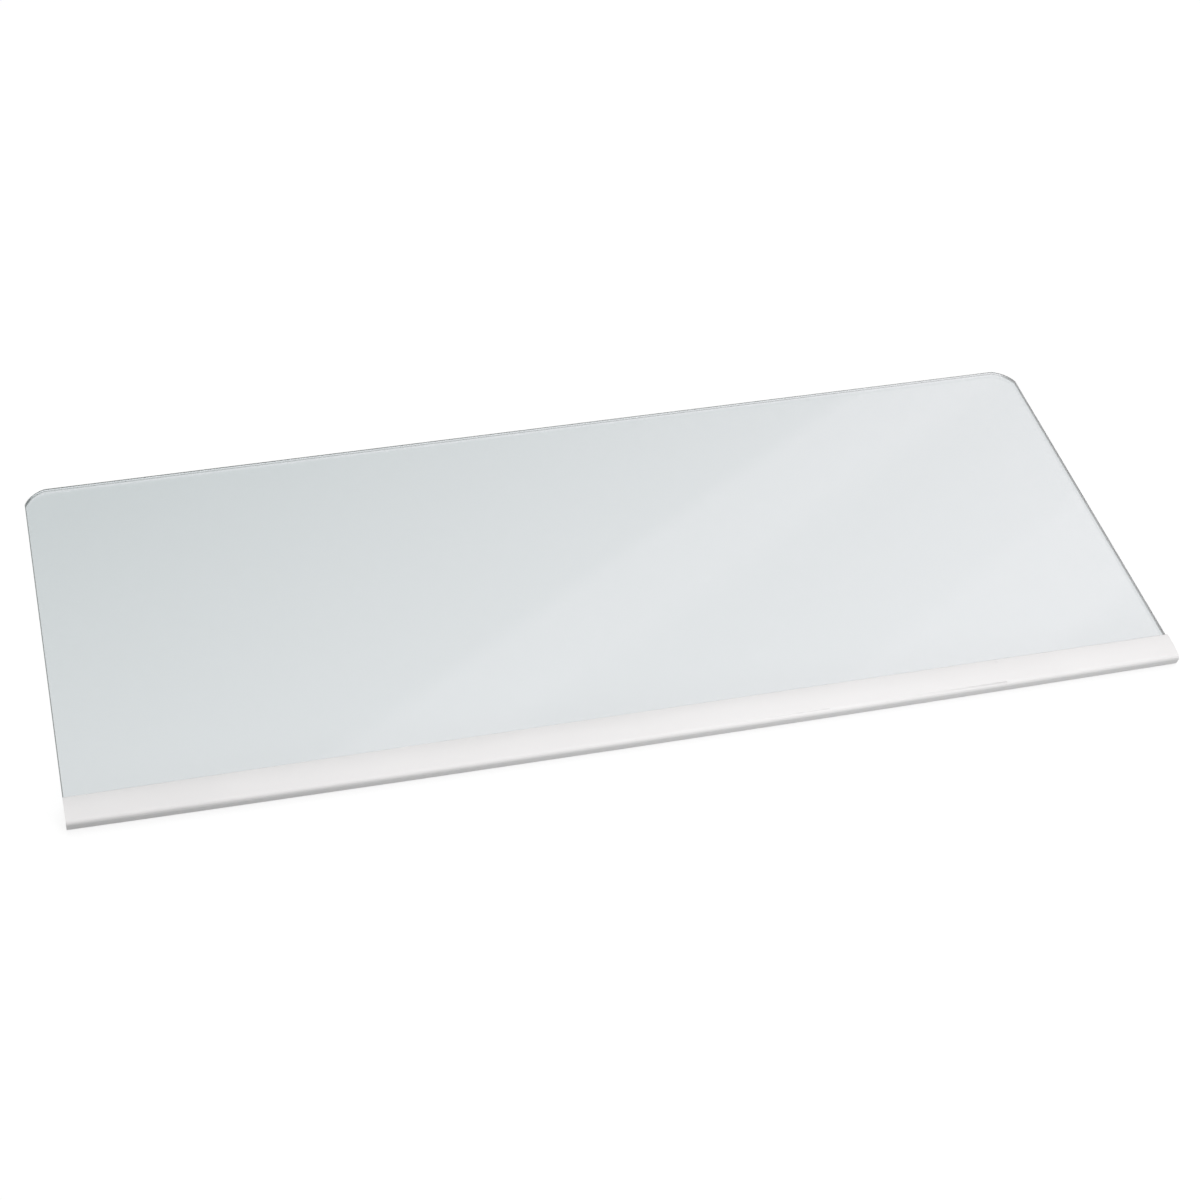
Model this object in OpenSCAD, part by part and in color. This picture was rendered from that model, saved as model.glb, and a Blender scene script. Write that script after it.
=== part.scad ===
// Fridge crisper cover: a toughened glass panel with a moulded trim gripping its front edge.
// X runs along the trim, +Y points to the rear and +Z up. The origin lies on the surface
// that the trim stands on, at the middle of the cover.

/* [Glass panel] */
// Width of the cover from side to side
cover_w = 475; // [300:1:650]
// Depth of the glass from its front edge, inside the trim, to its rear edge
glass_d = 205; // [120:1:420]
// Thickness of the glass
glass_t = 4; // [3:0.5:6]
// How far each rear corner cut runs along the edges it joins
corner_cut = 9.3; // [5:0.1:13]
// Radius of the bulging curve that each rear corner is cut to
corner_r = 15; // [11:0.5:40]
// Width of the small bevels ground along the edges of the glass
arris = 0.4; // [0.2:0.1:1]

/* [Front trim] */
// How far the glass reaches into the channel of the trim
grip_d = 10.3; // [8:0.1:13]
// Plastic between the front edge of the glass and the nose, at the ends of the trim
nose_wall = 3.75; // [3:0.05:6]
// How much further forward the nose stands at mid width than at the ends
bow = 1.4; // [0.6:0.1:5]
// Rise of the crowned top over the channel
crown_rise = 1.25; // [1.1:0.05:2.5]
// Distance from the rear of the upper lip to the highest line of the crown, at the ends of the trim
crown_at = 5; // [4:0.5:7]
// Thickness of the upper lip where the crown would reach its rear, at mid width
upper_lip_t = 0.72; // [0.7:0.02:1]
// Radius of the nose where the top turns down into the front face
nose_r = 1.8; // [1:0.1:2.5]
// Angle by which the front face slants back towards its foot
front_slant = 20; // [0:1:35]
// Radius of the foot, where the front face turns under
foot_r = 2; // [0.5:0.1:2.5]
// Thickness of the lower lip, under the glass
lower_lip_t = 1.8; // [1:0.1:3]
// Radius of the rear edge of the upper lip
upper_edge_r = 0.35; // [0.2:0.05:0.35]
// Radius of the rear edge of the lower lip
lower_edge_r = 0.5; // [0.2:0.1:0.8]
// Slope of the upper lip from its rear edge up to the crown
lip_slope = 30; // [20:1:40]

/* [Fit] */
// Clearance between the glass and each wall of the channel
fit_gap = 0.05; // [0.02:0.01:0.2]

/* [Hidden] */
$fn = 180;

// Flats and arcs that run into each other overlap by this much, too little to see
seam = 0.002;

// Heights over the surface that the trim stands on
glass_z = lower_lip_t + fit_gap;
slot_top = glass_z + glass_t + fit_gap;
crown_z = slot_top + crown_rise;

// Depths, forward from the rear of the upper lip
slot_d = grip_d + fit_gap;
trim_d = slot_d + nose_wall;

// The rear of the upper lip, placed so that the whole cover is centred from front to rear
lip_y = (trim_d + bow - (glass_d - grip_d)) / 2;

// The crown falls by this much over this distance, from its highest line to the lip at mid width
crown_fall = crown_rise - upper_lip_t;
crown_run = crown_at + bow;
crown_r = (pow(crown_run, 2) + pow(crown_fall, 2)) / (2 * crown_fall);

// Centres of the arcs in the section of the trim: x forward from the lip, y up
crown_c = [crown_at, crown_z - crown_r];
nose_x = trim_d - nose_r;
nose_c = [nose_x, crown_c.y + sqrt(pow(crown_r - nose_r + seam, 2) - pow(nose_x - crown_at, 2))];
foot_x = nose_x + (nose_r - foot_r) / cos(front_slant) - (nose_c.y - foot_r) * tan(front_slant);
foot_c = [foot_x, foot_r];
upper_edge_c = [upper_edge_r, slot_top + upper_edge_r];
lower_edge_c = [lower_edge_r, lower_edge_r];

// The nose follows an arc in plan, turned in short steps about a centre far behind the cover
bow_r = (pow(cover_w / 2, 2) + pow(bow, 2)) / (2 * bow);
bow_steps = 8;
bow_step = ceil(200 * asin(cover_w / 2 / bow_r) / bow_steps) / 100;

// How far a shape that cuts or is cut away reaches past what it meets
over = 2;

function polar(r, angle) = r * [cos(angle), sin(angle)];

// A rectangle with its four corners cut at 45 degrees
module bevelled(width, height, bevel) {
  w = width / 2;
  polygon([
    [-w + bevel, 0], [w - bevel, 0], [w, bevel], [w, height - bevel],
    [w - bevel, height], [-w + bevel, height], [-w, height - bevel], [-w, bevel]
  ]);
}

// A disc of the glass with the same bevels round its rim
module bevelled_disc(radius) {
  rotate_extrude() intersection() {
    bevelled(2 * radius, glass_t, arris);
    square([radius, glass_t]);
  }
}

// What is cut off the rear right corner, outside a curve that bulges past a straight cut
module corner_waste() {
  half_cut = corner_cut / 2;
  inset = half_cut + sqrt((pow(corner_r, 2) - 2 * pow(half_cut, 2)) / 2);
  side = inset + over;
  translate([cover_w / 2 - inset, glass_d - inset, 0]) difference() {
    translate([0, 0, -over]) cube([side, side, glass_t + 2 * over]);
    bevelled_disc(corner_r);
  }
}

module glass_panel() {
  color([0.82, 0.88, 0.87, 0.6])
  translate([0, lip_y - grip_d, glass_z])
  difference() {
    intersection() {
      translate([0, glass_d, 0]) rotate([90, 0, 0]) linear_extrude(glass_d)
        bevelled(cover_w, glass_t, arris);
      translate([0, glass_d / 2, 0]) rotate([90, 0, 90]) linear_extrude(cover_w, center = true)
        bevelled(glass_d, glass_t, arris);
    }
    corner_waste();
    mirror([1, 0, 0]) corner_waste();
  }
}

// Section of the trim's outside, open at the back: crown, nose, slanting front and foot
module front_section() {
  back = -bow - over;
  face = polar(1, -front_slant);
  to_nose = (nose_c - crown_c) / norm(nose_c - crown_c);
  intersection() {
    translate(crown_c) circle(crown_r);
    polygon([
      [back, 0], [foot_c.x, 0], foot_c + (foot_r - seam) * face, nose_c + (nose_r - seam) * face,
      nose_c, nose_c + (nose_r + over) * to_nose, [back, crown_z + over]
    ]);
  }
  translate(nose_c) circle(nose_r);
  translate(foot_c) circle(foot_r);
}

// Section of the straight lips, filled between them and open to the front
module lip_section() {
  front = trim_d + bow + over;
  ramp = polar(1, lip_slope);
  ramp_foot = upper_edge_c + polar(upper_edge_r - seam, 90 + lip_slope);
  polygon([
    [lower_edge_c.x, 0], [front, 0], [front, crown_z + over],
    ramp_foot + ramp * (crown_rise + over) / ramp.y, ramp_foot,
    [0, upper_edge_c.y], [0, lower_edge_c.y]
  ]);
  translate(upper_edge_c) circle(upper_edge_r);
  translate(lower_edge_c) circle(lower_edge_r);
}

// Sweeps a section forward of the lip along the bow of the nose
module along_bow() {
  translate([0, lip_y - bow, 0]) translate([0, bow_r, 0])
    for (step = [0 : bow_steps - 1])
      rotate_extrude(angle = bow_step, start = 270 + (step - bow_steps / 2) * bow_step)
        translate([bow_r, 0]) children();
}

// Runs a section forward of the lip straight across the cover
module across(width) {
  translate([0, lip_y, 0]) rotate([90, 0, -90]) linear_extrude(width, center = true) children();
}

module front_trim() {
  color([0.93, 0.93, 0.92])
  difference() {
    intersection() {
      along_bow() front_section();
      across(cover_w) lip_section();
    }
    across(cover_w + 2 * over) translate([-over, lower_lip_t])
      square([slot_d + over, slot_top - lower_lip_t]);
  }
}

glass_panel();
front_trim();
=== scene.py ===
import math

import bpy
from mathutils import Matrix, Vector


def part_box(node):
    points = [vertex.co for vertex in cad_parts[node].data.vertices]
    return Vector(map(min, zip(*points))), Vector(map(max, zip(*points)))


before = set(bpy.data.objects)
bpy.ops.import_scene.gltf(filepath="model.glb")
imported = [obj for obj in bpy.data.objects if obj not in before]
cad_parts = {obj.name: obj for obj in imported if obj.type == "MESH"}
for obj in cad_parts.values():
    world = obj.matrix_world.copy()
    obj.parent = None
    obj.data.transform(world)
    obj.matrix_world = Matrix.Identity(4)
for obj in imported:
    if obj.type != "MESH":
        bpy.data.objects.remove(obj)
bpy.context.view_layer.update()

MM = 0.001

# The places of the two CAD nodes, from the frame
glass_low, glass_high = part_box("glass_panel")
trim_low, trim_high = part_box("front_trim")
GLASS_TOP = glass_high[2]
LIP_Y = trim_high[1]

# Camera: the photograph's view, worked out from the corners of the glass and the trim
CAMERA_AT = (-0.227855, LIP_Y - 0.733877, GLASS_TOP + 0.756953)
CAMERA_RIGHT = (0.9700028909, -0.2401667237, 0.0376076483)
CAMERA_UP = (0.1342380114, 0.6581724593, 0.7408030614)
CAMERA_BACK = (-0.2026685638, -0.7135327377, 0.6706686931)
LENS = 77.548
SENSOR = 36.0

# Light: a colour renders about as it is written
AMBIENT = 0.50
KEY_SIZE = 2.4
KEY_AT = (0.20, 0.15, 1.70)
KEY_RADIANCE = 1.00
FILL_SIZE = (0.30, 0.12)
FILL_AT = (0.12, -0.50, 0.16)
FILL_RADIANCE = 6.3

# Floor: white to the eye, a mid tone to the light that it throws back
FLOOR_SIZE = 60.0
FLOOR_DROP = 0.1 * MM
FLOOR_BOUNCE = 0.22
FLOOR_LIFT = 0.82

# Reflected card: the graded softbox whose stripes show in the glass
CARD_SIZE = 16.0
CARD_HEIGHT = 1.20
STRIPE_TURN = math.radians(33.5)

# Glass
# Partly the glass's own green-grey tint, partly painted shade that darkens the whole pane
GLASS_TINT_AND_PAINTED_SHADE = (0.674, 0.718, 0.729, 1)
GLASS_SHADOW = (0.93, 0.945, 0.945, 1)
GLASS_IOR = 1.5

# Plastic
PLASTIC = (0.810, 0.810, 0.808, 1)


class Tree:
    """A node tree, built with short calls."""

    def __init__(self, tree):
        self.tree = tree
        tree.nodes.clear()

    def add(self, kind, inputs=None, **settings):
        node = self.tree.nodes.new("ShaderNode" + kind)
        for name, value in settings.items():
            setattr(node, name, value)
        for name, value in (inputs or {}).items():
            self.feed(node.inputs[name], value)
        return node

    def feed(self, socket, value):
        if isinstance(value, bpy.types.NodeSocket):
            self.tree.links.new(value, socket)
        else:
            socket.default_value = value

    def math(self, operation, *values, clamp=False):
        node = self.add("Math", dict(enumerate(values)), operation=operation, use_clamp=clamp)
        return node.outputs[0]

    def blend(self, factor, a, b):
        """A number that goes from a to b as factor goes from 0 to 1."""
        return self.add("MapRange", {"Value": factor, "To Min": a, "To Max": b}).outputs[0]

    def step(self, value, low, high, smooth=True):
        """0 below low and 1 above high."""
        kind = "SMOOTHSTEP" if smooth else "LINEAR"
        inputs = {"Value": value, "From Min": low, "From Max": high}
        return self.add("MapRange", inputs, interpolation_type=kind).outputs[0]

    def mix_colour(self, factor, a, b):
        node = self.add("Mix", data_type="RGBA")
        self.feed(node.inputs[0], factor)
        self.feed(node.inputs[6], a)
        self.feed(node.inputs[7], b)
        return node.outputs[2]

    def mix_shader(self, factor, a, b):
        return self.add("MixShader", {0: factor, 1: a, 2: b}).outputs[0]

    def seen(self):
        """1 for a ray from the camera, by way of gloss or glass too, and 0 for one that lights."""
        path = self.add("LightPath").outputs
        gloss = self.math("MAXIMUM", path["Is Glossy Ray"], path["Is Transmission Ray"])
        return self.math("MAXIMUM", path["Is Camera Ray"], gloss)


def material(name):
    made = bpy.data.materials.new(name)
    made.use_nodes = True
    return made, Tree(made.node_tree)


def plane(name, size, height, shader):
    half = size / 2
    corners = [(-half, -half, height), (half, -half, height), (half, half, height), (-half, half, height)]
    mesh = bpy.data.meshes.new(name)
    mesh.from_pydata(corners, [], [(0, 1, 2, 3)])
    mesh.materials.append(shader)
    made = bpy.data.objects.new(name, mesh)
    bpy.context.scene.collection.objects.link(made)
    return made


def area_lamp(name, at, size, radiance, aim):
    width, depth = size
    lamp = bpy.data.lights.new(name, "AREA")
    lamp.shape = "RECTANGLE"
    lamp.size = width
    lamp.size_y = depth
    lamp.energy = radiance * math.pi * width * depth
    made = bpy.data.objects.new(name, lamp)
    made.location = at
    away = made.location - made.location.__class__(aim)
    made.rotation_euler = away.to_track_quat("Z", "Y").to_euler()
    made.visible_glossy = False
    made.visible_camera = False
    bpy.context.scene.collection.objects.link(made)
    return made


# Camera

camera = bpy.data.objects.new("camera", bpy.data.cameras.new("camera"))
camera.data.lens = LENS
camera.data.sensor_width = SENSOR
camera.data.clip_end = 100
axes = Matrix((CAMERA_RIGHT, CAMERA_UP, CAMERA_BACK)).transposed()
camera.matrix_world = Matrix.Translation(CAMERA_AT) @ axes.to_4x4()
bpy.context.scene.collection.objects.link(camera)
bpy.context.scene.camera = camera
bpy.context.scene.view_settings.view_transform = "Standard"


# World and lamps

world = bpy.data.worlds.new("studio")
world.use_nodes = True
bpy.context.scene.world = world
tree = Tree(world.node_tree)
level = tree.blend(tree.seen(), AMBIENT, 1.0)
sky = tree.add("Background", {"Color": (1, 1, 1, 1), "Strength": level})
tree.add("OutputWorld", {"Surface": sky.outputs[0]})

area_lamp("key_lamp", KEY_AT, (KEY_SIZE, KEY_SIZE), KEY_RADIANCE, (0, 0, 0))
area_lamp("fill_lamp", FILL_AT, FILL_SIZE, FILL_RADIANCE, (0.10, trim_low[1], 0))


# Floor

floor_paint, tree = material("floor_paint")
matte = tree.add("BsdfDiffuse", {"Color": (FLOOR_BOUNCE, FLOOR_BOUNCE, FLOOR_BOUNCE, 1)})
lift = tree.add("Emission", {"Strength": tree.math("MULTIPLY", tree.seen(), FLOOR_LIFT)})
both = tree.add("AddShader", {0: matte.outputs[0], 1: lift.outputs[0]})
tree.add("OutputMaterial", {"Surface": both.outputs[0]})
plane("floor", FLOOR_SIZE, -FLOOR_DROP, floor_paint)


# Reflected card

def card_light():
    """Brightness across the card, by where each point of it shows in the glass."""
    made, tree = material("card_light")
    reach = (CARD_HEIGHT - GLASS_TOP) / (CAMERA_AT[2] - GLASS_TOP)
    place = tree.add("SeparateXYZ", {0: tree.add("NewGeometry").outputs["Position"]})
    across = (math.sin(STRIPE_TURN), -math.cos(STRIPE_TURN))
    start = reach * (across[0] * CAMERA_AT[0] + across[1] * (CAMERA_AT[1] - LIP_Y))
    along_x = tree.math("MULTIPLY", place.outputs[0], across[0] / (1 + reach))
    along_y = tree.math("MULTIPLY_ADD", place.outputs[1], across[1] / (1 + reach),
                        (start - across[1] * LIP_Y) / (1 + reach))
    stripe = tree.math("ADD", along_x, along_y)
    # Each row: where the brightness starts and ends to change, and by how much
    rises = [
        (-0.270, -0.079, 1.35), (-0.078, -0.069, 0.36), (-0.068, -0.040, 0.16),
        (-0.036, -0.024, -0.12), (-0.010, 0.044, 0.30), (0.044, 0.053, 0.19), (0.060, 0.095, 0.10),
        (0.098, 0.108, -0.20),
    ]
    total = 0.0
    for low, high, rise in rises:
        change = tree.math("MULTIPLY", tree.step(stripe, low, high, smooth=False), rise)
        total = tree.math("ADD", change, total)
    glow = tree.add("Emission", {"Color": (1, 0.86, 0.88, 1), "Strength": total})
    tree.add("OutputMaterial", {"Surface": glow.outputs[0]})
    return made


card = plane("reflected_card", CARD_SIZE, CARD_HEIGHT, card_light())
card.visible_camera = False
card.visible_diffuse = False
card.visible_volume_scatter = False
card.visible_shadow = False


# Glass

def glass_material():
    made, tree = material("tempered_glass_look")
    geometry = tree.add("NewGeometry").outputs
    facing = tree.add("SeparateXYZ", {0: geometry["True Normal"]}).outputs[2]
    sideways = tree.math("LESS_THAN", tree.math("ABSOLUTE", facing), 0.99)
    place = tree.add("SeparateXYZ", {0: geometry["Position"]}).outputs
    # The rear edge gets the ground look, with its painted shade, along its upper half only
    rear = tree.step(place[1], glass_high[1] - 6 * MM, glass_high[1] - 1 * MM)
    low = tree.step(place[2], GLASS_TOP - 1.4 * MM, GLASS_TOP - 1.9 * MM)
    edge = tree.math("MULTIPLY", sideways, tree.math("SUBTRACT", 1.0, tree.math("MULTIPLY", rear, low)))
    # The ground edges grow lighter towards the right as painted light; their dark tone is partly the ground
    # glass's own grey and partly painted shade
    painted_light_side = tree.step(place[0], glass_low[0], glass_high[0])
    ground_tone_and_painted_shade = tree.mix_colour(painted_light_side, (0.36, 0.385, 0.38, 1), (0.60, 0.63, 0.625, 1))
    grain = tree.add("TexNoise", {"Vector": geometry["Position"], "Scale": 900.0, "Detail": 3.0})
    colour = tree.mix_colour(edge, GLASS_TINT_AND_PAINTED_SHADE, ground_tone_and_painted_shade)
    rough = tree.blend(grain.outputs[0], 0.35, 0.60)
    rough = tree.math("MULTIPLY", rough, edge)
    clear = tree.blend(edge, 1.0, 0.10)
    pane = tree.add("BsdfPrincipled", {
        "Base Color": colour, "Roughness": rough, "IOR": GLASS_IOR, "Transmission Weight": clear,
    })
    shade = tree.add("BsdfTransparent", {"Color": GLASS_SHADOW})
    shadow = tree.add("LightPath").outputs["Is Shadow Ray"]
    through = tree.mix_shader(tree.add("LightPath").outputs["Is Diffuse Ray"], pane.outputs[0], shade.outputs[0])
    surface = tree.mix_shader(shadow, through, shade.outputs[0])
    tree.add("OutputMaterial", {"Surface": surface})
    return made


# Plastic

def plastic_material():
    made, tree = material("white_plastic_look")
    place = tree.add("NewGeometry").outputs["Position"]
    cloud = tree.add("TexNoise", {"Vector": place, "Scale": 25.0, "Detail": 4.0})
    grain = tree.add("TexNoise", {"Vector": place, "Scale": 1800.0, "Detail": 3.0})
    shade = tree.step(cloud.outputs[0], 0.3, 0.7)
    colour = tree.mix_colour(shade, (0.795, 0.795, 0.793, 1), PLASTIC)
    rough = tree.blend(cloud.outputs[0], 0.34, 0.46)
    bump = tree.add("Bump", {"Height": grain.outputs[0], "Strength": 0.25, "Distance": 0.00005})
    body = tree.add("BsdfPrincipled", {
        "Base Color": colour, "Roughness": rough, "Normal": bump.outputs[0], "IOR": 1.46,
    })
    tree.add("OutputMaterial", {"Surface": body.outputs[0]})
    return made


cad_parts["glass_panel"].material_slots[0].material = glass_material()
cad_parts["front_trim"].material_slots[0].material = plastic_material()
